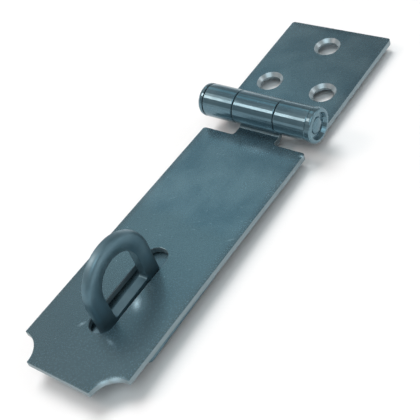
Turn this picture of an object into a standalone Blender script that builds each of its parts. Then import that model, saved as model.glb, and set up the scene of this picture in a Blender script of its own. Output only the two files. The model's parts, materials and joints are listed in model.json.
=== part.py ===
"""Zinc-plated steel safety hasp with its staple, closed: three-knuckle strap hinge, slotted strap, D-shaped eye."""

import math

import bmesh
import bpy
from mathutils import Vector

MM = 0.001

# Sheet metal
SHEET = 2.0 * MM                # strap and hinge leaf
PLATE_SHEET = 1.8 * MM          # staple plate
EDGE_ROUNDING = 0.25 * MM       # die-rolled edges of every stamping
CORNER_RADIUS = 1.0 * MM        # plan corners of leaf and strap
NECK_FILLET = 1.2 * MM          # plan corners beside each knuckle's root

# Hinge
PIN_DIAMETER = 6.0 * MM
PIN_CLEARANCE = 0.3 * MM        # pin to knuckle, on the radius
AXIS_HEIGHT = 7.8 * MM          # pin axis above the mounting surface
BEND_RADIUS = 0.8 * MM          # inside radius of the bend that lifts the sheet into the knuckle
EDGE_SETBACK = 6.95 * MM        # pin axis to the sheet edges beside a knuckle
CENTRE_KNUCKLE = 14.8 * MM
KNUCKLE_GAP = 0.3 * MM          # end play beside each knuckle and under the pin's heads
CURL_END = math.radians(262.0)  # the curl stops here, measured over the top from the sheet's own side
HEAD_THICKNESS = 1.85 * MM
FORMED_HEAD = 10.6 * MM         # diameter
FORMED_SHOULDER = 1.3 * MM      # rounding of the formed head's edge
RIVETED_HEAD = 11.2 * MM        # diameter
RIVETED_SHOULDER = 0.75 * MM    # rounding of the riveted head's edge
HEAD_RIM = 1.3 * MM             # flat ring round the riveted head's hollow
DISH_DEPTH = 1.1 * MM           # hollow that the riveting punch leaves in the riveted head
DISH_FLANK = 0.55 * MM          # slope of the hollow's side, measured across the head
DOME_DEPTH = 0.25 * MM          # top of the upset shank inside that hollow, below the rim
DOME_SHOULDER = 0.3 * MM        # upset shank's end is this much narrower than the shank, all round

# Hinge leaf
LEAF_SIDE_INSET = 0.2 * MM      # its side edges lie this far inside the strap's
LEAF_REACH = 48.7 * MM          # pin axis to the far edge
LEAF_HOLE_PITCH = 20.0 * MM     # between the two holes beside the knuckles
LEAF_PAIR_MARGIN = 12.0 * MM    # from the edge beside the knuckles to that pair
LEAF_SINGLE_MARGIN = 9.1 * MM   # from the far edge to the single hole

# Strap
STRAP_WIDTH = 38.0 * MM
STRAP_TAIL = 30.3 * MM          # middle of the eye to the free end
STRAP_LIFT = 0.35 * MM          # strap runs this much above the leaf's level at the hinge
CORNER_SCOOP = 7.6 * MM         # radius of the two concave corners of the free end
SLOT_SIDE_ROOM = 2.3 * MM       # slot past the eye on each side
SLOT_SWING_ROOM = 4.5 * MM      # slot past the eye towards the hinge
SLOT_END_ROOM = 1.7 * MM        # slot past the eye towards the free end

# Staple
EYE_SETBACK = 72.3 * MM         # pin axis to the middle of the eye
EYE_THICKNESS = 3.0 * MM
EYE_RADIUS = 12.9 * MM          # outer radius of the bow
EYE_BAND = 5.4 * MM             # width of the metal round the hole
EYE_TOP = 25.0 * MM             # above the mounting surface
EYE_SILL = 3.1 * MM             # flat lower side of the hole, above the mounting surface
EYE_HOLE_CORNER = 0.9 * MM
EYE_ROUNDING = 0.55 * MM        # edges of the hole
BOW_ROUNDING = 1.2 * MM         # outer edges of the eye
TENON_WIDTH = 4.6 * MM
TENON_SHOULDER = 1.4 * MM       # each tenon lies this far inside the eye's outer side
TENON_FLARE = 0.5 * MM          # the peened ends spread by this much on each side
SEAT_GAP = 0.3 * MM             # clearance between pieces that touch
STAPLE_PLATE_LENGTH = 32.4 * MM
STAPLE_PLATE_SHIFT = 2.0 * MM   # its middle lies this far from the eye's towards the hinge
STAPLE_SIDE_INSET = 1.4 * MM    # its side edges lie this far inside the strap's
STAPLE_PLATE_CORNER = 1.5 * MM
STAPLE_HOLE_INSET = 5.8 * MM    # plate edges to the screw holes

# Countersunk screw holes
SCREW_HOLE = 6.6 * MM
SCREW_SINK = 8.8 * MM           # diameter of the countersink at the surface

# Facets
CURL_STEP = math.radians(9.0)
BEND_STEP = math.radians(12.5)
DOME_STEPS = 4
ROUND_SEGMENTS = 40
CUT_MARGIN = 1.0 * MM           # cutters stand this far past the metal

# Sizes that follow
KNUCKLE_RADIUS = PIN_DIAMETER / 2 + PIN_CLEARANCE + SHEET
LEAF_WIDTH = STRAP_WIDTH - 2 * LEAF_SIDE_INSET
STAPLE_PLATE_WIDTH = STRAP_WIDTH - 2 * STAPLE_SIDE_INSET
STRAP_REACH = EYE_SETBACK + STRAP_TAIL
SLOT_WIDTH = EYE_THICKNESS + 2 * SLOT_SIDE_ROOM
SLOT_HINGE_END = EYE_SETBACK - EYE_RADIUS - SLOT_SWING_ROOM
SLOT_FREE_END = EYE_SETBACK + EYE_RADIUS + SLOT_END_ROOM
STRAP_AXIS_HEIGHT = AXIS_HEIGHT - STRAP_LIFT
PLATE_EDGE_SETBACK = EYE_SETBACK - STAPLE_PLATE_SHIFT - STAPLE_PLATE_LENGTH / 2


def strap_rest_angle():
    """Slope at which the strap's back clears the hinge-side top edge of the staple plate by the seat gap."""
    rise = AXIS_HEIGHT - PLATE_SHEET - SEAT_GAP
    span = math.hypot(PLATE_EDGE_SETBACK, rise)
    return math.asin(STRAP_AXIS_HEIGHT / span) - math.atan2(rise, PLATE_EDGE_SETBACK)


STRAP_SLOPE = strap_rest_angle()
STRAP_EXTENT = STRAP_REACH * math.cos(STRAP_SLOPE) + STRAP_AXIS_HEIGHT * math.sin(STRAP_SLOPE)
AXIS_Y = (STRAP_EXTENT - LEAF_REACH) / 2
STAPLE_Y = AXIS_Y - EYE_SETBACK


def zinc(name, colour, roughness):
    """Bright zinc plate over steel."""
    material = bpy.data.materials.new(name)
    material.use_nodes = True
    shader = material.node_tree.nodes["Principled BSDF"]
    shader.inputs["Base Color"].default_value = (*colour, 1.0)
    shader.inputs["Roughness"].default_value = roughness
    shader.inputs["Metallic"].default_value = 1.0
    return material


def add_object(name, mesh, location=(0.0, 0.0, 0.0), material=None):
    """Links a mesh into the scene as one named object."""
    part = bpy.data.objects.new(name, mesh)
    part.location = location
    if material is not None:
        mesh.materials.append(material)
    bpy.context.scene.collection.objects.link(part)
    return part


def finish_mesh(bm, name, smooth_angle=35.0):
    """Turns a bmesh into a mesh with outward faces and smooth shading across its round stretches."""
    bmesh.ops.recalc_face_normals(bm, faces=bm.faces)
    mesh = bpy.data.meshes.new(name)
    bm.to_mesh(mesh)
    bm.free()
    mesh.shade_smooth()
    mesh.set_sharp_from_angle(angle=math.radians(smooth_angle))
    return mesh


def arc(centre_a, centre_b, radius, start, end, steps):
    """Points of an arc in a plane, both ends included."""
    points = []
    for index in range(steps + 1):
        angle = start + (end - start) * index / steps
        points.append((centre_a + radius * math.cos(angle), centre_b + radius * math.sin(angle)))
    return points


def knuckle_stations(axis_height, side, far_reach, edge_setback):
    """Neutral line of the sheet from its far edge, along the flat, up the lift bend and over the pin.

    Each station is (y, z, normal y, normal z), measured from the pin axis; side is +1 for the leaf, -1 for
    the strap. The normal points away from the mounting surface.
    """
    middle = SHEET / 2
    bend = BEND_RADIUS + middle
    curl = KNUCKLE_RADIUS - middle
    level = middle - axis_height
    drop = -(level + bend)
    bend_y = math.sqrt((bend + curl) ** 2 - drop ** 2)
    entry = math.atan2(-drop, bend_y)
    stations = [(far_reach, level, 0.0, 1.0), (edge_setback, level, 0.0, 1.0)]
    turn = math.pi / 2 - entry
    steps = math.ceil(turn / BEND_STEP)
    for index in range(steps):
        angle = turn * index / steps
        y = bend_y - bend * math.sin(angle)
        z = level + bend - bend * math.cos(angle)
        stations.append((y, z, math.sin(angle), math.cos(angle)))
    steps = math.ceil((CURL_END - entry) / CURL_STEP)
    for index in range(steps + 1):
        angle = entry + (CURL_END - entry) * index / steps
        stations.append((curl * math.cos(angle), curl * math.sin(angle), math.cos(angle), math.sin(angle)))
    return [(side * y, z, side * ny, nz) for y, z, ny, nz in stations]


def sheet_body(name, lines, stations, filled):
    """One closed bent sheet: lines run across it, stations along it, and filled says which cells hold metal."""
    bm = bmesh.new()
    corners = {}

    def corner(i, j, k):
        if (i, j, k) not in corners:
            y, z, ny, nz = stations[j]
            offset = SHEET / 2 * (1 if k else -1)
            corners[i, j, k] = bm.verts.new((lines[i], y + ny * offset, z + nz * offset))
        return corners[i, j, k]

    def has_metal(i, j):
        return 0 <= i < len(lines) - 1 and 0 <= j < len(stations) - 1 and filled(i, j)

    for i in range(len(lines) - 1):
        for j in range(len(stations) - 1):
            if not has_metal(i, j):
                continue
            for k in (0, 1):
                bm.faces.new([corner(a, b, k) for a, b in ((i, j), (i + 1, j), (i + 1, j + 1), (i, j + 1))])
            sides = (((i, j), (i, j + 1), (i - 1, j)), ((i + 1, j), (i + 1, j + 1), (i + 1, j)),
                     ((i, j), (i + 1, j), (i, j - 1)), ((i, j + 1), (i + 1, j + 1), (i, j + 1)))
            for first, second, neighbour in sides:
                if not has_metal(*neighbour):
                    bm.faces.new([corner(*first, 0), corner(*second, 0), corner(*second, 1), corner(*first, 1)])
    bmesh.ops.recalc_face_normals(bm, faces=bm.faces)
    return bm


def round_plan_corners(bm, places, radius):
    """Rounds the upright edges that stand at the given places in plan."""
    chosen = []
    for edge in bm.edges:
        a, b = (v.co for v in edge.verts)
        upright = (a.xy - b.xy).length < 1e-7
        if upright and any((a.xy - Vector(place)).length < 1e-6 for place in places):
            chosen.append(edge)
    bmesh.ops.bevel(bm, geom=chosen, offset=radius, segments=5, profile=0.5, affect="EDGES", clamp_overlap=True)


def prism(outline, low, high, plane):
    """Closed prism: an outline in the XY plane raised along Z, or in the YZ plane drawn along X."""
    bm = bmesh.new()
    if plane == "XY":
        rings = [[bm.verts.new((a, b, level)) for a, b in outline] for level in (low, high)]
    else:
        rings = [[bm.verts.new((level, a, b)) for a, b in outline] for level in (low, high)]
    count = len(outline)
    bm.faces.new(rings[0])
    bm.faces.new(rings[1])
    for index in range(count):
        following = (index + 1) % count
        bm.faces.new([rings[0][index], rings[0][following], rings[1][following], rings[1][index]])
    bmesh.ops.recalc_face_normals(bm, faces=bm.faces)
    return bm


def turned(profile, axis, segments=ROUND_SEGMENTS):
    """Closed body of revolution about X or Z from (along, radius) points that start and end on the axis."""
    bm = bmesh.new()
    rings = []
    for along, radius in profile:
        count = 1 if radius == 0 else segments
        ring = []
        for index in range(count):
            angle = 2 * math.pi * index / segments
            a, b = radius * math.cos(angle), radius * math.sin(angle)
            ring.append(bm.verts.new((along, a, b) if axis == "X" else (a, b, along)))
        rings.append(ring)
    for first, second in zip(rings, rings[1:]):
        for index in range(segments):
            following = (index + 1) % segments
            loop = [first[index % len(first)], first[following % len(first)],
                    second[following % len(second)], second[index % len(second)]]
            bm.faces.new(list(dict.fromkeys(loop)))
    bmesh.ops.recalc_face_normals(bm, faces=bm.faces)
    return bm


def cut(target, bm, name, location=(0.0, 0.0, 0.0)):
    """Takes a body away from the target; the cutter moves with it."""
    cutter = add_object(name, finish_mesh(bm, name), location)
    cutter.parent = target
    cutter.hide_render = True
    cutter.display_type = "WIRE"
    modifier = target.modifiers.new(name, "BOOLEAN")
    modifier.operation = "DIFFERENCE"
    modifier.solver = "EXACT"
    modifier.object = cutter


def round_edges(target, width):
    """Breaks the sharp edges that stamping leaves rounded."""
    modifier = target.modifiers.new("edge_rounding", "BEVEL")
    modifier.width = width
    modifier.segments = 2
    modifier.limit_method = "ANGLE"
    modifier.angle_limit = math.radians(50.0)
    modifier.use_clamp_overlap = True
    modifier.harden_normals = True


def screw_hole(surface, thickness):
    """Cutter for a countersunk screw hole whose countersink opens at the given surface height."""
    sink_depth = (SCREW_SINK - SCREW_HOLE) / 2
    top = surface + CUT_MARGIN
    profile = [(top, 0.0), (top, SCREW_SINK / 2 + CUT_MARGIN), (surface - sink_depth, SCREW_HOLE / 2),
               (surface - thickness - CUT_MARGIN, SCREW_HOLE / 2), (surface - thickness - CUT_MARGIN, 0.0)]
    return turned(profile, "Z")


def build_leaf():
    """Hinge leaf: flat plate with a countersunk hole and a pair, and the two outer knuckles."""
    stations = knuckle_stations(AXIS_HEIGHT, 1, LEAF_REACH, EDGE_SETBACK)
    half = LEAF_WIDTH / 2
    notch = CENTRE_KNUCKLE / 2 + KNUCKLE_GAP
    bm = sheet_body("hinge_leaf", (-half, -notch, notch, half), stations, lambda i, j: j == 0 or i != 1)
    round_plan_corners(bm, ((-half, LEAF_REACH), (half, LEAF_REACH)), CORNER_RADIUS)
    round_plan_corners(bm, ((-notch, EDGE_SETBACK), (notch, EDGE_SETBACK)), NECK_FILLET)
    leaf = add_object("hinge_leaf", finish_mesh(bm, "hinge_leaf"), (0.0, AXIS_Y, AXIS_HEIGHT),
                      zinc("leaf_zinc", (0.36, 0.42, 0.45), 0.34))
    surface = SHEET - AXIS_HEIGHT
    pair = EDGE_SETBACK + LEAF_PAIR_MARGIN
    places = ((0.0, LEAF_REACH - LEAF_SINGLE_MARGIN), (-LEAF_HOLE_PITCH / 2, pair), (LEAF_HOLE_PITCH / 2, pair))
    for number, (x, y) in enumerate(places, start=1):
        cut(leaf, screw_hole(surface, SHEET), f"leaf_hole_{number}", (x, y, 0.0))
    round_edges(leaf, EDGE_ROUNDING)


def build_strap():
    """Strap: centre knuckle, slot for the eye and two scooped corners, resting over the staple plate."""
    stations = knuckle_stations(STRAP_AXIS_HEIGHT, -1, STRAP_REACH, EDGE_SETBACK)
    half = STRAP_WIDTH / 2
    neck = CENTRE_KNUCKLE / 2
    bm = sheet_body("hasp_strap", (-half, -neck, neck, half), stations, lambda i, j: j == 0 or i == 1)
    round_plan_corners(bm, ((-half, -EDGE_SETBACK), (half, -EDGE_SETBACK)), CORNER_RADIUS)
    round_plan_corners(bm, ((-neck, -EDGE_SETBACK), (neck, -EDGE_SETBACK)), NECK_FILLET)
    strap = add_object("hasp_strap", finish_mesh(bm, "hasp_strap"), (0.0, AXIS_Y, AXIS_HEIGHT),
                       zinc("strap_zinc", (0.38, 0.45, 0.48), 0.32))
    strap.rotation_euler.x = -STRAP_SLOPE
    low = -STRAP_AXIS_HEIGHT - CUT_MARGIN
    high = SHEET - STRAP_AXIS_HEIGHT + CUT_MARGIN
    radius = SLOT_WIDTH / 2
    steps = 12
    outline = arc(0.0, -SLOT_HINGE_END - radius, radius, 0.0, math.pi, steps)
    outline += arc(0.0, -SLOT_FREE_END + radius, radius, math.pi, 2 * math.pi, steps)
    cut(strap, prism(outline, low, high, "XY"), "strap_slot")
    for side, name in ((-1, "scoop_left"), (1, "scoop_right")):
        scoop = turned([(low, 0.0), (low, CORNER_SCOOP), (high, CORNER_SCOOP), (high, 0.0)], "Z", 64)
        cut(strap, scoop, name, (side * half, -STRAP_REACH, 0.0))
    round_edges(strap, EDGE_ROUNDING)


def build_pin():
    """Hinge pin: formed head on the left, riveted head with a dished face on the right."""
    shank = PIN_DIAMETER / 2
    inner = LEAF_WIDTH / 2 + KNUCKLE_GAP
    outer = inner + HEAD_THICKNESS
    formed = FORMED_HEAD / 2
    shoulder = arc(outer - FORMED_SHOULDER, formed - FORMED_SHOULDER, FORMED_SHOULDER, 0.0, math.pi / 2, 6)
    profile = [(-outer, 0.0)]
    profile += [(-along, radius) for along, radius in shoulder]
    profile += [(-inner, formed), (-inner, shank)]
    riveted = RIVETED_HEAD / 2
    shoulder = arc(outer - RIVETED_SHOULDER, riveted - RIVETED_SHOULDER, RIVETED_SHOULDER, math.pi / 2, 0.0, 5)
    profile += [(inner, shank), (inner, riveted)]
    profile += shoulder
    lip = riveted - HEAD_RIM
    floor = outer - DISH_DEPTH
    tip = shank - DOME_SHOULDER
    rise = DISH_DEPTH - DOME_DEPTH
    profile += [(outer, lip), (floor, lip - DISH_FLANK)]
    for index in range(DOME_STEPS):
        angle = math.pi / 2 * index / DOME_STEPS
        profile.append((floor + rise * math.sin(angle), tip * math.cos(angle)))
    profile += [(floor + rise, 0.0)]
    add_object("hinge_pin", finish_mesh(turned(profile, "X"), "hinge_pin"), (0.0, AXIS_Y, AXIS_HEIGHT),
               zinc("pin_zinc", (0.34, 0.41, 0.44), 0.3))


def tenon_outline(centre, clearance, base):
    """One tenon of the eye: straight through the plate, spread where it is peened in the back."""
    half = TENON_WIDTH / 2 + clearance
    flare = TENON_FLARE
    foot = SEAT_GAP / 2 if clearance == 0 else -CUT_MARGIN
    spread = PLATE_SHEET / 2
    wide = half + flare * (spread - foot) / spread
    return [(centre + half, base), (centre + half, spread), (centre + wide, foot),
            (centre - wide, foot), (centre - half, spread), (centre - half, base)]


def round_bow(bm, base):
    """Rounds the outer edges of the bow and its legs on both faces, down to the legs' feet."""
    chosen = []
    for edge in bm.edges:
        a, b = (v.co for v in edge.verts)
        along_face = abs(a.x - b.x) < 1e-7
        if along_face and (a.z + b.z) / 2 > base + SEAT_GAP:
            chosen.append(edge)
    bmesh.ops.bevel(bm, geom=chosen, offset=BOW_ROUNDING, segments=5, profile=0.5, affect="EDGES",
                    clamp_overlap=True)


def build_staple():
    """Staple: a thick D-shaped eye whose two tenons are peened in its screw plate."""
    base = PLATE_SHEET + SEAT_GAP
    bow = EYE_TOP - EYE_RADIUS
    tenon_place = EYE_RADIUS - TENON_SHOULDER - TENON_WIDTH / 2
    outline = arc(0.0, bow, EYE_RADIUS, 0.0, math.pi, 32)
    outline += [(-EYE_RADIUS, base)]
    outline += list(reversed(tenon_outline(-tenon_place, 0.0, base)))
    outline += list(reversed(tenon_outline(tenon_place, 0.0, base)))
    outline += [(EYE_RADIUS, base)]
    half = EYE_THICKNESS / 2
    bm = prism(outline, -half, half, "YZ")
    round_bow(bm, base)
    eye = add_object("staple_eye", finish_mesh(bm, "staple_eye"), (0.0, STAPLE_Y, 0.0),
                     zinc("eye_zinc", (0.33, 0.4, 0.44), 0.28))
    inner = EYE_RADIUS - EYE_BAND
    corner = EYE_HOLE_CORNER
    hole = arc(0.0, bow, inner, 0.0, math.pi, 28)
    hole += arc(-inner + corner, EYE_SILL + corner, corner, math.pi, 1.5 * math.pi, 6)
    hole += arc(inner - corner, EYE_SILL + corner, corner, 1.5 * math.pi, 2 * math.pi, 6)
    cut(eye, prism(hole, -half - CUT_MARGIN, half + CUT_MARGIN, "YZ"), "eye_hole")
    round_edges(eye, EYE_ROUNDING)

    length, width = STAPLE_PLATE_LENGTH / 2, STAPLE_PLATE_WIDTH / 2
    rectangle = [(-width, -length), (width, -length), (width, length), (-width, length)]
    bm = prism(rectangle, 0.0, PLATE_SHEET, "XY")
    round_plan_corners(bm, rectangle, STAPLE_PLATE_CORNER)
    plate_y = STAPLE_Y + STAPLE_PLATE_SHIFT
    plate = add_object("staple_plate", finish_mesh(bm, "staple_plate"), (0.0, plate_y, 0.0),
                       zinc("plate_zinc", (0.37, 0.43, 0.46), 0.36))
    for number, side in enumerate((-1, 1), start=1):
        pocket = tenon_outline(side * tenon_place, SEAT_GAP, PLATE_SHEET + CUT_MARGIN)
        reach = half + SEAT_GAP
        cut(plate, prism(pocket, -reach, reach, "YZ"), f"tenon_slot_{number}", (0.0, -STAPLE_PLATE_SHIFT, 0.0))
    x, y = width - STAPLE_HOLE_INSET, length - STAPLE_HOLE_INSET
    for number, (side_x, side_y) in enumerate(((-1, -1), (1, -1), (1, 1), (-1, 1)), start=1):
        cut(plate, screw_hole(PLATE_SHEET, PLATE_SHEET), f"plate_hole_{number}", (side_x * x, side_y * y, 0.0))
    round_edges(plate, EDGE_ROUNDING)


def main():
    for existing in list(bpy.data.objects):
        bpy.data.objects.remove(existing, do_unlink=True)
    build_leaf()
    build_strap()
    build_pin()
    build_staple()


main()
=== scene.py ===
"""Zinc-plated steel hasp and staple: finishes for its five pieces, and the stage it is shown on."""

import json
import math

import bpy
from bpy.props import FloatProperty, FloatVectorProperty, PointerProperty
from bpy.types import Operator, Panel, PropertyGroup
from mathutils import Matrix, Vector


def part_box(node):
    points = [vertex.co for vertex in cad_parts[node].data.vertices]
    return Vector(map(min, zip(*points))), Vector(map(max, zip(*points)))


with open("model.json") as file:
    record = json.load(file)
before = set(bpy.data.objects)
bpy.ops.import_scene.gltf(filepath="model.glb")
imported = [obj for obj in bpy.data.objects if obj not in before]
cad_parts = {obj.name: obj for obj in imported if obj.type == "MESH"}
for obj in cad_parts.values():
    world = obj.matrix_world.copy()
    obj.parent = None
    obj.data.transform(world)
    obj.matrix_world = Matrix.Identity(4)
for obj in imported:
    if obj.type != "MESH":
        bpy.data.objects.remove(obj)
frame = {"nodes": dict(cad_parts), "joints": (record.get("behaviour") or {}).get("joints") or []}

bl_info = {
    "name": "Hasp and staple finish",
    "version": (1, 0, 0),
    "blender": (4, 5, 0),
    "location": "3D View > Sidebar > Hasp",
    "description": "Plated steel finishes for a hasp, its hinge and its staple, with a studio stage",
    "category": "Material",
}

MM = 0.001

# Places on the hasp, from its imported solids
LEAF_LOW, LEAF_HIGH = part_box("hinge_leaf")
STRAP_LOW, STRAP_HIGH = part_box("hasp_strap")
EYE_LOW, EYE_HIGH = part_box("staple_eye")
HINGE = next(joint for joint in frame["joints"] if joint["name"] == "strap_hinge")
AXIS_Y, AXIS_Z = HINGE["pos_m"][1:]

# Upper faces: the strap's height at the hinge pin and how it rises from there to the free end, and the
# staple plate's height
STRAP_TOP_AT_HINGE = 2.35 * MM
STRAP_SLOPE = math.radians(1.857)
PLATE_TOP = 1.8 * MM

# Passivate's clouds: noise at which the film is thinnest and thickest
FILM_THIN, FILM_THICK = 0.36, 0.64

# Zinc's crystals: noise at which they are smoothest and roughest, what that takes from and adds to the
# roughness, and how far they stand proud
GRAIN_SMOOTH, GRAIN_ROUGH = 0.3, 0.7
GRAIN_SMOOTHER, GRAIN_ROUGHER = 0.02, 0.03
CRYSTAL_HEIGHT = 0.00015 * MM

# Roughness of the other pieces against the plated strip's
PIN_SMOOTHER = 0.08
EYE_ROUGHER = 0.16
PLATE_ROUGHER = 0.02

# Greyer, darker tone over the free half of the strap: where it starts past the hinge pin, how far the clouds
# push its border about, the places on both sides of that border where it is gone and full, and the share of the
# film it takes
FREE_HALF_START = 43.0 * MM
FREE_HALF_RAGGED = 12 * MM
FREE_HALF_GONE, FREE_HALF_FULL = 8 * MM, 4 * MM
FREE_HALF_SHARE = 0.8

# Specks rubbed bare: their spacing, the shares of it at which one is full and gone, and their strength
SPECK_SPACING = 3.2 * MM
SPECK_FULL, SPECK_GONE = 0.05, 0.11
STRAP_SPECKS = 0.16

# Rub marks, painted highlights and painted reflections in mm and degrees: place across and along from the hinge
# pin, half length, half width, turn, strength
STRAP_RUBS_AND_HIGHLIGHTS = (
    # Scratches rubbed through the film
    (-9.4, 37.3, 3.9, 0.22, 46.6, 0.25),
    (17.0, 44.8, 2.4, 0.25, 40.6, 0.45),
    # Painted reflection: the bright spot, and the teal patch round it, that the strap mirrors through the eye's
    # hole
    (5.3, 74.3, 4.4, 2.3, -55.0, 1.0),
    (4.6, 75.2, 9.0, 5.0, 20.0, 0.08),
    # Painted reflection of the highlight at the eye's near foot
    (6.5, 87.6, 3.4, 0.9, -14.0, 0.45),
    # Painted highlight on the rim at the slot's near end
    (-5.0, 86.2, 2.0, 0.8, 60.0, 0.5),
    # Painted reflection of the knuckles' highlight on the strap beside the hinge
    (3.7, 10.8, 9.0, 3.0, 0.0, 0.15),
    # Painted highlights along the upper edges of the scooped corners at the free end
    (15.3, 96.2, 3.8, 1.3, 30.0, 1.0),
    (13.0, 98.2, 3.2, 1.1, 50.0, 1.0),
    (18.6, 8.6, 1.4, 0.8, 0.0, 0.9),
)
# Painted sheen: a pale patch on the bow's upper outer band, for the soft light it mirrors
EYE_PAINTED_SHEEN = ((0.0, 76.5, 6.5, 2.6, 90.0, 0.3),)
# Painted highlight on the staple plate, where it shows through the slot's near end
PLATE_PAINTED_HIGHLIGHT = ((-2.6, 85.8, 3.0, 2.4, 90.0, 1.0),)

# How far a mark reaches above and below its own height, and that reach and the height of the eye's painted
# sheen
MARK_DEPTH = 2.5 * MM
EYE_SHEEN_DEPTH = 5.0 * MM
EYE_SHEEN_HEIGHT = 23.5 * MM

# Knuckles: distances from the pin's axis at which the sheet is rolled and is plain strip, how much
# smoother rolling leaves it, and the width of the swells in it
ROLLED_FULL, ROLLED_GONE = 5.5 * MM, 6.0 * MM
BURNISH = 0.06
SWELL_SIZE = 7 * MM
FLATTENING = 1e3  # scale along the pin that leaves only the distance from its axis

# Upright share of the normal: a face's, a sheared wall's, and a 45 degree countersink's with its margin
FACE_UPRIGHT, WALL_UPRIGHT = 0.8, 0.35
CONE_UPRIGHT, CONE_MARGIN = 0.707, 0.06

# Eye's band: its width, and how far the middle of its faces stands above their edges
BOW_BAND = 5.4 * MM
BOW_RISE = 0.75 * MM

# Floor of matt laminate: half its side, and how far it lies under the mounting plane, which leaves the
# floor in the screw holes in shade
FLOOR_REACH = 3.0
FLOOR_DROP = 2.6 * MM
FLOOR_ROUGHNESS = 0.9
FLOOR_GLOSS = 0.1

# Studio walls: their top and the start of the room, as upright shares of the direction, and their tint
WALL_TOP, ROOM_START = 0.12, 0.20
WALL_TINT = (1.0, 0.965, 0.95)

# Soft panels: azimuth and elevation in degrees, angles at which one is full and gone, and its light. One
# with less than no light is a dark flag, which takes that much from the room
PANELS = (
    (-62.0, 48.0, 12.0, 36.0, (0.16, 0.11, 0.10)),
    (-48.0, 43.2, 5.0, 8.5, (0.24, 0.60, 0.68)),
    (-28.0, 34.0, 6.0, 14.0, (-0.28, -0.27, -0.27)),
    (144.0, 65.0, 8.0, 26.0, (1.6, 1.9, 2.0)),
    (54.0, 36.0, 5.0, 16.0, (1.5, 1.5, 1.5)),
)

# Key: the direction it comes from, and how wide it looks from the hasp
KEY_FROM = Vector((-0.30, 0.24, 0.92))
KEY_ANGLE = math.radians(30.0)

# Softboxes: name, azimuth and elevation in degrees, distance, width and height in metres, watts, colour
SOFTBOXES = (("softbox_left", -119.0, 51.0, 0.6, 0.16, 0.12, 0.5, (1.0, 0.78, 0.70)),)

CAMERA_TARGET = Vector((1.7 * MM, -8.0 * MM, 0.0))
CAMERA_NEAR = 0.01
SENSOR_WIDTH = 36.0  # millimetres, as Blender counts it


def linear(code):
    """Linear RGB of an sRGB hex colour."""
    channels = [int(code[index:index + 2], 16) / 255 for index in (1, 3, 5)]
    return tuple(c / 12.92 if c <= 0.04045 else ((c + 0.055) / 1.055) ** 2.4 for c in channels)


class HaspFinish(PropertyGroup):
    """Colours and surface of the zinc plate."""

    passivate: FloatVectorProperty(
        name="Passivate", description="Blue passivated zinc where the film is thin",
        subtype="COLOR", size=3, min=0.0, max=1.0, default=linear("#6E8B96"))
    passivate_dark: FloatVectorProperty(
        name="Passivate, thick film", description="Blue passivated zinc where the film is thick",
        subtype="COLOR", size=3, min=0.0, max=1.0, default=linear("#597885"))
    # Greyer, darker tone laid over the free half of the strap
    free_half_tone: FloatVectorProperty(
        name="Passivate, handled",
        description="Greyer film on the half of the strap that hands and the lock touch",
        subtype="COLOR", size=3, min=0.0, max=1.0, default=linear("#607C86"))
    # Pale zinc for specks and scratches rubbed bare, and also the colour of the painted highlights, reflections
    # and sheen
    scuff_and_highlight: FloatVectorProperty(
        name="Scuff", description="Zinc rubbed bare of its passivate",
        subtype="COLOR", size=3, min=0.0, max=1.0, default=linear("#BEDDEA"))
    cut: FloatVectorProperty(
        name="Cut zinc", description="Plate on the smooth cones that the countersink cuts",
        subtype="COLOR", size=3, min=0.0, max=1.0, default=linear("#AEBDC3"))
    sheared: FloatVectorProperty(
        name="Sheared zinc", description="Plate on the torn walls of the stampings",
        subtype="COLOR", size=3, min=0.0, max=1.0, default=linear("#86979D"))
    roughness: FloatProperty(
        name="Roughness", description="Roughness of the plated strip", subtype="FACTOR",
        min=0.0, max=1.0, default=0.26)
    sheared_roughness: FloatProperty(
        name="Roughness, sheared", description="Roughness of the torn walls", subtype="FACTOR",
        min=0.0, max=1.0, default=0.42)
    clearness: FloatProperty(
        name="Clearness",
        description="Share of the light that passes the passivate's haze and meets the metal",
        subtype="FACTOR", min=0.0, max=1.0, default=0.72)
    cloud_size: FloatProperty(
        name="Cloud size", description="Width of the clouds in the passivate", subtype="DISTANCE",
        unit="LENGTH", min=1 * MM, default=16 * MM)
    # Real crystals are a few thousandths of a millimetre wide, and are drawn this coarse so that they show
    grain_size: FloatProperty(
        name="Grain size", description="Width of the zinc's crystals as they show", subtype="DISTANCE",
        unit="LENGTH", min=0.05 * MM, default=0.45 * MM)
    edge_roll: FloatProperty(
        name="Edge roll", description="Width of the strip beside a sheared edge that the die draws down",
        subtype="DISTANCE", unit="LENGTH", min=0.1 * MM, default=2.6 * MM)
    unevenness: FloatProperty(
        name="Knuckle unevenness", description="Height of the swells that rolling leaves on the knuckles",
        subtype="DISTANCE", unit="LENGTH", min=0.0, default=0.12 * MM)
    edge_drop: FloatProperty(
        name="Edge drop", description="How far the die draws the surface down at the edge",
        subtype="DISTANCE", unit="LENGTH", min=0.0, default=0.10 * MM)


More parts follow.
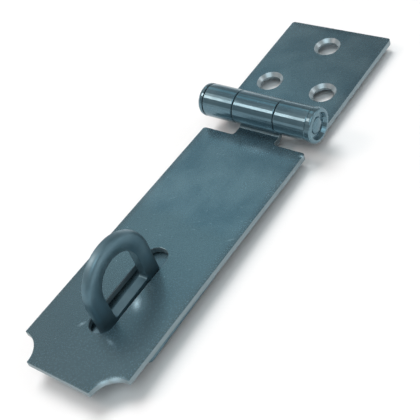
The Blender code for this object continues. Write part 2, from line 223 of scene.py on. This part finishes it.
class HaspStage(PropertyGroup):
    """Camera, floor and lights."""

    floor_colour: FloatVectorProperty(
        name="Floor", description="Colour of the floor", subtype="COLOR", size=3, min=0.0, max=1.0,
        default=linear("#F8F8F8"))
    camera_azimuth: FloatProperty(
        name="Azimuth", description="Turn of the camera round the hasp from the free end",
        subtype="ANGLE", unit="ROTATION", default=math.radians(50.24))
    camera_elevation: FloatProperty(
        name="Elevation", description="Angle of the camera above the floor",
        subtype="ANGLE", unit="ROTATION", default=math.radians(44.44))
    camera_roll: FloatProperty(
        name="Roll", description="Turn of the camera about its own line of sight",
        subtype="ANGLE", unit="ROTATION", default=math.radians(-21.94))
    camera_distance: FloatProperty(
        name="Distance", description="Camera to the point it looks at", subtype="DISTANCE",
        unit="LENGTH", default=275.7 * MM)
    camera_lens: FloatProperty(
        name="Lens", description="Focal length", subtype="DISTANCE_CAMERA", unit="CAMERA", default=80.0)
    key_strength: FloatProperty(
        name="Key", description="Strength of the steep key light", min=0.0, default=1.65)
    surround_strength: FloatProperty(
        name="Surround", description="Brightness of the studio round the hasp", min=0.0, default=1.0)
    room_level: FloatProperty(
        name="Room", description="Brightness of the studio between its panels", min=0.0, default=0.30)


def add_node(tree, kind, settings=None, links=None):
    """Adds a node, sets its properties and unlinked inputs, and links the others."""
    node = tree.nodes.new(kind)
    for name, value in (settings or {}).items():
        if isinstance(name, str) and hasattr(node, name):
            setattr(node, name, value)
        else:
            node.inputs[name].default_value = value
    for name, socket in (links or {}).items():
        tree.links.new(socket, node.inputs[name])
    return node


def new_material(name):
    """A node material with its shader at its defaults."""
    material = bpy.data.materials.new(name)
    material.use_nodes = True
    return material, material.node_tree, material.node_tree.nodes["Principled BSDF"]


def dress(node_name, material):
    """Gives a CAD node its finish."""
    piece = frame["nodes"].get(node_name)
    if piece is None:
        raise RuntimeError(f"the packed model has no node named {node_name}")
    piece.data.materials.clear()
    piece.data.materials.append(material)


def rubs_and_painted_light(rows, height, slope=0.0, depth=MARK_DEPTH):
    """Rub marks and painted highlights from their rows, on a face that has this height at the hinge pin and
    rises to the free end.
    """
    marks = []
    for x, along, half_length, half_width, turn, strength in rows:
        y = AXIS_Y - along * MM
        top = height + (AXIS_Y - y) * math.tan(slope)
        marks.append(((x * MM, y, top), half_length * MM, half_width * MM, math.radians(turn), strength, depth))
    return marks


def spot(tree, place, centre, half_length, half_width, turn, strength, depth):
    """A long soft mark on a flat face: strongest at its middle, 0 outside."""
    local = add_node(tree, "ShaderNodeMapping",
                     {"vector_type": "TEXTURE", "Location": centre, "Rotation": (0.0, 0.0, turn),
                      "Scale": (half_length, half_width, depth)}, {"Vector": place})
    shape = add_node(tree, "ShaderNodeTexGradient", {"gradient_type": "QUADRATIC_SPHERE"},
                     {"Vector": local.outputs["Vector"]})
    return add_node(tree, "ShaderNodeMath", {"operation": "MULTIPLY", 1: strength},
                    {0: shape.outputs["Fac"]}).outputs[0]


def rub_and_highlight_share(tree, place, marks, specks):
    """Share of the pale colour from specks, rub marks, painted highlights and painted reflections, or None on a
    piece that has none of them.
    """
    shares = [spot(tree, place, *mark) for mark in marks]
    if specks > 0.0:
        cells = add_node(tree, "ShaderNodeTexVoronoi", {"Scale": 1 / SPECK_SPACING, "Randomness": 1.0},
                         {"Vector": place})
        dots = add_node(tree, "ShaderNodeMapRange",
                        {"From Min": SPECK_FULL, "From Max": SPECK_GONE, "To Min": specks, "To Max": 0.0},
                        {"Value": cells.outputs["Distance"]})
        shares.append(dots.outputs[0])
    if not shares:
        return None
    rub_and_highlight = shares[0]
    for share in shares[1:]:
        rub_and_highlight = add_node(tree, "ShaderNodeMath", {"operation": "MAXIMUM"}, {0: rub_and_highlight, 1: share}).outputs[0]
    return rub_and_highlight


def free_half_share(tree, place, clouds, start):
    """Share of the greyer tone along the strap's free half, with a border that the clouds make ragged."""
    along = add_node(tree, "ShaderNodeSeparateXYZ", {}, {"Vector": place}).outputs["Y"]
    ragged = add_node(tree, "ShaderNodeMath", {"operation": "MULTIPLY_ADD", 1: FREE_HALF_RAGGED},
                      {0: clouds, 2: along})
    return add_node(tree, "ShaderNodeMapRange",
                    {"From Min": start + FREE_HALF_GONE, "From Max": start + FREE_HALF_FULL,
                     "To Max": FREE_HALF_SHARE}, {"Value": ragged.outputs[0]}).outputs[0]


def rolled_share(tree, place):
    """1 on the knuckles, 0 on the flat strip."""
    turned = add_node(tree, "ShaderNodeMapping",
                      {"vector_type": "TEXTURE", "Location": (0.0, AXIS_Y, AXIS_Z),
                       "Scale": (FLATTENING, 1.0, 1.0)}, {"Vector": place})
    radius = add_node(tree, "ShaderNodeVectorMath", {"operation": "LENGTH"},
                      {0: turned.outputs["Vector"]})
    return add_node(tree, "ShaderNodeMapRange",
                    {"From Min": ROLLED_FULL, "From Max": ROLLED_GONE, "To Min": 1.0, "To Max": 0.0},
                    {"Value": radius.outputs["Value"]}).outputs[0]


def cut_shares(tree, rolled):
    """Shares of the sheared walls and of the countersinks' cones, both 0 on the knuckles."""
    facing = add_node(tree, "ShaderNodeTexCoord").outputs["Normal"]
    upright = add_node(tree, "ShaderNodeSeparateXYZ", {}, {"Vector": facing}).outputs["Z"]
    steep = add_node(tree, "ShaderNodeMath", {"operation": "ABSOLUTE"}, {0: upright}).outputs[0]
    flat = add_node(tree, "ShaderNodeMath", {"operation": "SUBTRACT", 0: 1.0}, {1: rolled}).outputs[0]
    wall = add_node(tree, "ShaderNodeMapRange", {"From Min": FACE_UPRIGHT, "From Max": WALL_UPRIGHT},
                    {"Value": steep}).outputs[0]
    cone = add_node(tree, "ShaderNodeMath", {"operation": "COMPARE", 1: CONE_UPRIGHT, 2: CONE_MARGIN},
                    {0: steep}).outputs[0]
    return [add_node(tree, "ShaderNodeMath", {"operation": "MULTIPLY"}, {0: share, 1: flat}).outputs[0]
            for share in (wall, cone)]


def rolled_edge(tree, place, low, high, finish):
    """Height of the face beside the sheared edges of a stamping: flat, then drawn down towards the edge."""
    split = add_node(tree, "ShaderNodeSeparateXYZ", {}, {"Vector": place})
    drops = []
    for axis in (0, 1):
        middle = (low[axis] + high[axis]) / 2
        half = (high[axis] - low[axis]) / 2
        offset = add_node(tree, "ShaderNodeMath", {"operation": "SUBTRACT", 1: middle},
                          {0: split.outputs[axis]})
        distance = add_node(tree, "ShaderNodeMath", {"operation": "ABSOLUTE"}, {0: offset.outputs[0]})
        share = add_node(tree, "ShaderNodeMapRange", {"From Min": half - finish.edge_roll, "From Max": half},
                         {"Value": distance.outputs[0]})
        drop = add_node(tree, "ShaderNodeMath", {"operation": "POWER", 1: 2.0}, {0: share.outputs[0]})
        drops.append(drop.outputs[0])
    deepest = add_node(tree, "ShaderNodeMath", {"operation": "MAXIMUM"}, {0: drops[0], 1: drops[1]})
    return add_node(tree, "ShaderNodeMath", {"operation": "MULTIPLY", 1: -finish.edge_drop},
                    {0: deepest.outputs[0]}).outputs[0]


def crowned_band(tree, place, middle, bow_height, radius, rise, half_band):
    """Height of the bow's faces: highest along the middle of its band and falling to both sides."""
    moved = add_node(tree, "ShaderNodeMapping",
                     {"vector_type": "TEXTURE", "Location": (0.0, middle, bow_height)}, {"Vector": place})
    split = add_node(tree, "ShaderNodeSeparateXYZ", {}, {"Vector": moved.outputs["Vector"]})
    above = add_node(tree, "ShaderNodeMath", {"operation": "MAXIMUM", 1: 0.0}, {0: split.outputs["Z"]})
    ring = add_node(tree, "ShaderNodeCombineXYZ", {}, {"Y": split.outputs["Y"], "Z": above.outputs[0]})
    distance = add_node(tree, "ShaderNodeVectorMath", {"operation": "LENGTH"}, {0: ring.outputs[0]})
    offset = add_node(tree, "ShaderNodeMath", {"operation": "SUBTRACT", 1: radius},
                      {0: distance.outputs["Value"]})
    share = add_node(tree, "ShaderNodeMath", {"operation": "DIVIDE", 1: half_band}, {0: offset.outputs[0]})
    square = add_node(tree, "ShaderNodeMath", {"operation": "POWER", 1: 2.0}, {0: share.outputs[0]})
    # Past the band the height stays level, so that the plain faces below it keep their own shade
    kept = add_node(tree, "ShaderNodeMath", {"operation": "MINIMUM", 1: 1.0}, {0: square.outputs[0]})
    return add_node(tree, "ShaderNodeMath", {"operation": "MULTIPLY", 1: -rise},
                    {0: kept.outputs[0]}).outputs[0]


def zinc_plate(name, finish, roughness, marks=(), edges=None, specks=0.0, crown=None, free_half_from=None):
    """Bright zinc plate with a blue passivate on steel.

    Electroplated zinc is a fine, slightly frosty metal; the thin passivate over it lies in soft blue-grey
    clouds. Handling leaves pale specks and scratches where the film is rubbed off, and pale patches of the same
    colour are painted highlights, reflections and sheen.
    """
    material, tree, shader = new_material(name)
    place = add_node(tree, "ShaderNodeTexCoord").outputs["Object"]
    clouds = add_node(tree, "ShaderNodeTexNoise",
                      {"Scale": 1 / finish.cloud_size, "Detail": 4.0, "Roughness": 0.55, "Distortion": 0.4},
                      {"Vector": place}).outputs["Fac"]
    film = add_node(tree, "ShaderNodeMapRange", {"From Min": FILM_THIN, "From Max": FILM_THICK},
                    {"Value": clouds}).outputs[0]
    grain = add_node(tree, "ShaderNodeTexNoise",
                     {"Scale": 1 / finish.grain_size, "Detail": 3.0, "Roughness": 0.6},
                     {"Vector": place}).outputs["Fac"]
    colour = add_node(tree, "ShaderNodeMix",
                      {"data_type": "RGBA", 6: (*finish.passivate, 1.0), 7: (*finish.passivate_dark, 1.0)},
                      {0: film}).outputs[2]
    gloss = add_node(tree, "ShaderNodeMapRange",
                     {"From Min": GRAIN_SMOOTH, "From Max": GRAIN_ROUGH,
                      "To Min": roughness - GRAIN_SMOOTHER, "To Max": roughness + GRAIN_ROUGHER},
                     {"Value": grain}).outputs[0]
    height = add_node(tree, "ShaderNodeMath", {"operation": "MULTIPLY", 1: CRYSTAL_HEIGHT},
                      {0: grain}).outputs[0]

    # Other colours with their shares, each laid over those before it
    layers = []
    # Greyer tone over the strap's free half
    if free_half_from is not None:
        layers.append((free_half_share(tree, place, clouds, free_half_from), finish.free_half_tone))
    if edges is not None:
        # A sheared wall is torn rather than rolled, so it is paler and duller than the faces
        rolled = rolled_share(tree, place)
        wall, cone = cut_shares(tree, rolled)
        layers += [(wall, finish.sheared), (cone, finish.cut)]
        burnish = add_node(tree, "ShaderNodeMath", {"operation": "MULTIPLY", 1: BURNISH}, {0: rolled})
        gloss = add_node(tree, "ShaderNodeMath", {"operation": "SUBTRACT"},
                         {0: gloss, 1: burnish.outputs[0]}).outputs[0]
        gloss = add_node(tree, "ShaderNodeMix", {"data_type": "FLOAT", 3: finish.sheared_roughness},
                         {0: wall, 2: gloss}).outputs[0]
        # The die draws the edges down, and rolling leaves the knuckles a little uneven
        drawn = rolled_edge(tree, place, *edges, finish)
        height = add_node(tree, "ShaderNodeMath", {"operation": "ADD"}, {0: height, 1: drawn}).outputs[0]
        swell = add_node(tree, "ShaderNodeTexNoise", {"Scale": 1 / SWELL_SIZE, "Detail": 1.0},
                         {"Vector": place})
        dent = add_node(tree, "ShaderNodeMath", {"operation": "MULTIPLY"},
                        {0: swell.outputs["Fac"], 1: rolled})
        height = add_node(tree, "ShaderNodeMath", {"operation": "MULTIPLY_ADD", 1: finish.unevenness},
                          {0: dent.outputs[0], 2: height}).outputs[0]
    if crown is not None:
        height = add_node(tree, "ShaderNodeMath", {"operation": "ADD"},
                          {0: height, 1: crowned_band(tree, place, *crown)}).outputs[0]

    # The milky film scatters a share of the light before it reaches the metal, and a rub mark or painted
    # highlight scatters all of it where it is strongest
    shader.inputs["Metallic"].default_value = finish.clearness
    rub_and_highlight = rub_and_highlight_share(tree, place, marks, specks)
    if rub_and_highlight is not None:
        layers.append((rub_and_highlight, finish.scuff_and_highlight))
        clear = add_node(tree, "ShaderNodeMapRange", {"To Min": finish.clearness, "To Max": 0.0},
                         {"Value": rub_and_highlight})
        tree.links.new(clear.outputs[0], shader.inputs["Metallic"])
    for share, tone in layers:
        colour = add_node(tree, "ShaderNodeMix", {"data_type": "RGBA", 7: (*tone, 1.0)},
                          {0: share, 6: colour}).outputs[2]
    bump = add_node(tree, "ShaderNodeBump", {"Strength": 1.0, "Distance": 1.0}, {"Height": height})
    tree.links.new(colour, shader.inputs["Base Color"])
    tree.links.new(gloss, shader.inputs["Roughness"])
    tree.links.new(bump.outputs["Normal"], shader.inputs["Normal"])
    return material


class HASP_OT_finish_leaf(Operator):
    """Gives the hinge leaf its zinc plate"""

    bl_idname = "hasp.finish_leaf"
    bl_label = "Hinge leaf"

    def execute(self, context):
        finish = context.scene.hasp_finish
        dress("hinge_leaf", zinc_plate("blue_passivated_zinc_leaf", finish, finish.roughness,
                                       edges=((LEAF_LOW.x, AXIS_Y), (LEAF_HIGH.x, LEAF_HIGH.y))))
        return {"FINISHED"}


class HASP_OT_finish_strap(Operator):
    """Gives the slotted strap its zinc plate with its scratches and specks, painted highlights and reflections,
    and a greyer free half
    """

    bl_idname = "hasp.finish_strap"
    bl_label = "Strap"

    def execute(self, context):
        finish = context.scene.hasp_finish
        dress("hasp_strap", zinc_plate("blue_passivated_zinc_strap", finish, finish.roughness,
                                       marks=rubs_and_painted_light(STRAP_RUBS_AND_HIGHLIGHTS, STRAP_TOP_AT_HINGE, STRAP_SLOPE),
                                       edges=((STRAP_LOW.x, STRAP_LOW.y), (STRAP_HIGH.x, AXIS_Y)),
                                       specks=STRAP_SPECKS, free_half_from=AXIS_Y - FREE_HALF_START))
        return {"FINISHED"}


class HASP_OT_finish_pin(Operator):
    """Gives the hinge pin its zinc plate"""

    bl_idname = "hasp.finish_pin"
    bl_label = "Hinge pin"

    def execute(self, context):
        finish = context.scene.hasp_finish
        # Plate on a drawn pin is smoother than on strip, so its heads mirror more sharply
        dress("hinge_pin", zinc_plate("bright_zinc_pin", finish, finish.roughness - PIN_SMOOTHER))
        return {"FINISHED"}


class HASP_OT_finish_staple(Operator):
    """Gives the staple's plate and eye their zinc plate, with a painted highlight on the plate and a painted
    sheen on the eye
    """

    bl_idname = "hasp.finish_staple"
    bl_label = "Staple"

    def execute(self, context):
        finish = context.scene.hasp_finish
        # The forged bow is crowned across its band, and its coarser skin spreads what it mirrors
        bow_radius = (EYE_HIGH.y - EYE_LOW.y) / 2
        crown = ((EYE_HIGH.y + EYE_LOW.y) / 2, EYE_HIGH.z - bow_radius, bow_radius - BOW_BAND / 2,
                 BOW_RISE, BOW_BAND / 2)
        # The eye gets a painted sheen on its bow
        dress("staple_eye", zinc_plate("bright_zinc_eye", finish, finish.roughness + EYE_ROUGHER, crown=crown,
                                       marks=rubs_and_painted_light(EYE_PAINTED_SHEEN, EYE_SHEEN_HEIGHT, depth=EYE_SHEEN_DEPTH)))
        # The plate gets a painted highlight where it shows through the slot's near end
        dress("staple_plate", zinc_plate("blue_passivated_zinc_plate", finish,
                                         finish.roughness + PLATE_ROUGHER,
                                         marks=rubs_and_painted_light(PLATE_PAINTED_HIGHLIGHT, PLATE_TOP)))
        return {"FINISHED"}


def bearing(azimuth, elevation):
    """Direction from the hasp to a place in the studio, from its azimuth and elevation in degrees."""
    a, e = math.radians(azimuth), math.radians(elevation)
    return Vector((math.sin(a) * math.cos(e), math.cos(a) * math.cos(e), math.sin(e)))


def lay_floor(scene, stage):
    """The white floor, which carries the hasp's shadow."""
    reach = FLOOR_REACH
    mesh = bpy.data.meshes.new("floor")
    mesh.from_pydata([(-reach, -reach, 0), (reach, -reach, 0), (reach, reach, 0), (-reach, reach, 0)], [],
                     [(0, 1, 2, 3)])
    floor = bpy.data.objects.new("floor", mesh)
    floor.location.z = -FLOOR_DROP
    scene.collection.objects.link(floor)
    # Matt laminate: plain white with hardly any gloss
    material, _, shader = new_material("white_matt_laminate")
    shader.inputs["Base Color"].default_value = (*stage.floor_colour, 1.0)
    shader.inputs["Roughness"].default_value = FLOOR_ROUGHNESS
    shader.inputs["Specular IOR Level"].default_value = FLOOR_GLOSS
    mesh.materials.append(material)


def panel(tree, direction, light, azimuth, elevation, inner, outer, colour):
    """Adds a round soft panel to the studio's light: full inside one angle, gone outside the other."""
    cosine = add_node(tree, "ShaderNodeVectorMath",
                      {"operation": "DOT_PRODUCT", 1: bearing(azimuth, elevation)}, {0: direction})
    share = add_node(tree, "ShaderNodeMapRange",
                     {"interpolation_type": "SMOOTHSTEP", "From Min": math.cos(math.radians(outer)),
                      "From Max": math.cos(math.radians(inner))}, {"Value": cosine.outputs["Value"]})
    lit = add_node(tree, "ShaderNodeVectorMath", {"operation": "SCALE", 0: colour},
                   {"Scale": share.outputs[0]})
    return add_node(tree, "ShaderNodeVectorMath", {"operation": "ADD"},
                    {0: light, 1: lit.outputs[0]}).outputs[0]


def build_studio(scene, stage):
    """The studio that the metal mirrors: pale walls, a dimmer room above them, and the panels."""
    world = bpy.data.worlds.new("studio")
    scene.world = world
    world.use_nodes = True
    tree = world.node_tree
    direction = add_node(tree, "ShaderNodeTexCoord").outputs["Generated"]
    height = add_node(tree, "ShaderNodeSeparateXYZ", {}, {"Vector": direction}).outputs["Z"]
    walls = add_node(tree, "ShaderNodeMapRange",
                     {"interpolation_type": "SMOOTHSTEP", "From Min": WALL_TOP, "From Max": ROOM_START,
                      "To Min": 1.0, "To Max": stage.room_level}, {"Value": height}).outputs[0]
    light = add_node(tree, "ShaderNodeVectorMath", {"operation": "SCALE", 0: WALL_TINT},
                     {"Scale": walls}).outputs[0]
    for row in PANELS:
        light = panel(tree, direction, light, *row)
    background = tree.nodes["Background"]
    tree.links.new(light, background.inputs["Color"])
    background.inputs["Strength"].default_value = stage.surround_strength


def hang_lamp(scene, name, kind, towards, distance=0.0):
    """A lamp that shines at the hasp's middle, from this direction and distance."""
    lamp = bpy.data.lights.new(name, kind)
    holder = bpy.data.objects.new(name, lamp)
    holder.location = towards * distance
    holder.rotation_mode = "QUATERNION"
    holder.rotation_quaternion = (-towards).to_track_quat("-Z", "Y")
    scene.collection.objects.link(holder)
    return lamp, holder


def hang_lights(scene, stage):
    """The key, which the metal doesn't mirror, and the softboxes."""
    key, holder = hang_lamp(scene, "key", "SUN", KEY_FROM)
    key.energy = stage.key_strength
    key.angle = KEY_ANGLE
    holder.visible_glossy = False
    for name, azimuth, elevation, distance, width, height, power, colour in SOFTBOXES:
        lamp, _ = hang_lamp(scene, name, "AREA", bearing(azimuth, elevation), distance)
        lamp.shape = "RECTANGLE"
        lamp.size, lamp.size_y = width, height
        lamp.energy = power
        lamp.color = colour


def set_camera(scene, stage):
    """The camera, turned about its own line of sight."""
    a, e = stage.camera_azimuth, stage.camera_elevation
    back = Vector((math.sin(a) * math.cos(e), -math.cos(a) * math.cos(e), math.sin(e)))
    camera = bpy.data.cameras.new("camera")
    camera.lens = stage.camera_lens
    camera.sensor_width = SENSOR_WIDTH
    camera.clip_start = CAMERA_NEAR
    holder = bpy.data.objects.new("camera", camera)
    turn = (-back).to_track_quat("-Z", "Y").to_matrix() @ Matrix.Rotation(stage.camera_roll, 3, "Z")
    holder.matrix_world = Matrix.Translation(CAMERA_TARGET + back * stage.camera_distance) @ turn.to_4x4()
    scene.collection.objects.link(holder)
    scene.camera = holder


class HASP_OT_stage(Operator):
    """Lays the floor, hangs the lights and sets the camera"""

    bl_idname = "hasp.stage"
    bl_label = "Stage"

    def execute(self, context):
        for step in (lay_floor, build_studio, hang_lights, set_camera):
            step(context.scene, context.scene.hasp_stage)
        context.scene.view_settings.view_transform = "Standard"
        return {"FINISHED"}


class VIEW3D_PT_hasp(Panel):
    """Sidebar panel of the hasp"""

    bl_label = "Hasp and staple"
    bl_idname = "VIEW3D_PT_hasp"
    bl_space_type = "VIEW_3D"
    bl_region_type = "UI"
    bl_category = "Hasp"

    def draw(self, context):
        for group in (context.scene.hasp_finish, context.scene.hasp_stage):
            column = self.layout.column(align=True)
            for name in group.bl_rna.properties.keys():
                if name not in {"rna_type", "name"}:
                    column.prop(group, name)
        for operator in STEPS:
            self.layout.operator(operator.bl_idname)


STEPS = (HASP_OT_finish_leaf, HASP_OT_finish_strap, HASP_OT_finish_pin, HASP_OT_finish_staple, HASP_OT_stage)
CLASSES = (HaspFinish, HaspStage, *STEPS, VIEW3D_PT_hasp)


def register():
    for cls in CLASSES:
        bpy.utils.register_class(cls)
    bpy.types.Scene.hasp_finish = PointerProperty(type=HaspFinish)
    bpy.types.Scene.hasp_stage = PointerProperty(type=HaspStage)


def unregister():
    del bpy.types.Scene.hasp_stage
    del bpy.types.Scene.hasp_finish
    for cls in reversed(CLASSES):
        bpy.utils.unregister_class(cls)


def main():
    """Runs every step in order."""
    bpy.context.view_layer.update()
    register()
    bpy.ops.hasp.finish_leaf()
    bpy.ops.hasp.finish_strap()
    bpy.ops.hasp.finish_pin()
    bpy.ops.hasp.finish_staple()
    bpy.ops.hasp.stage()


if __name__ == "__main__":
    main()
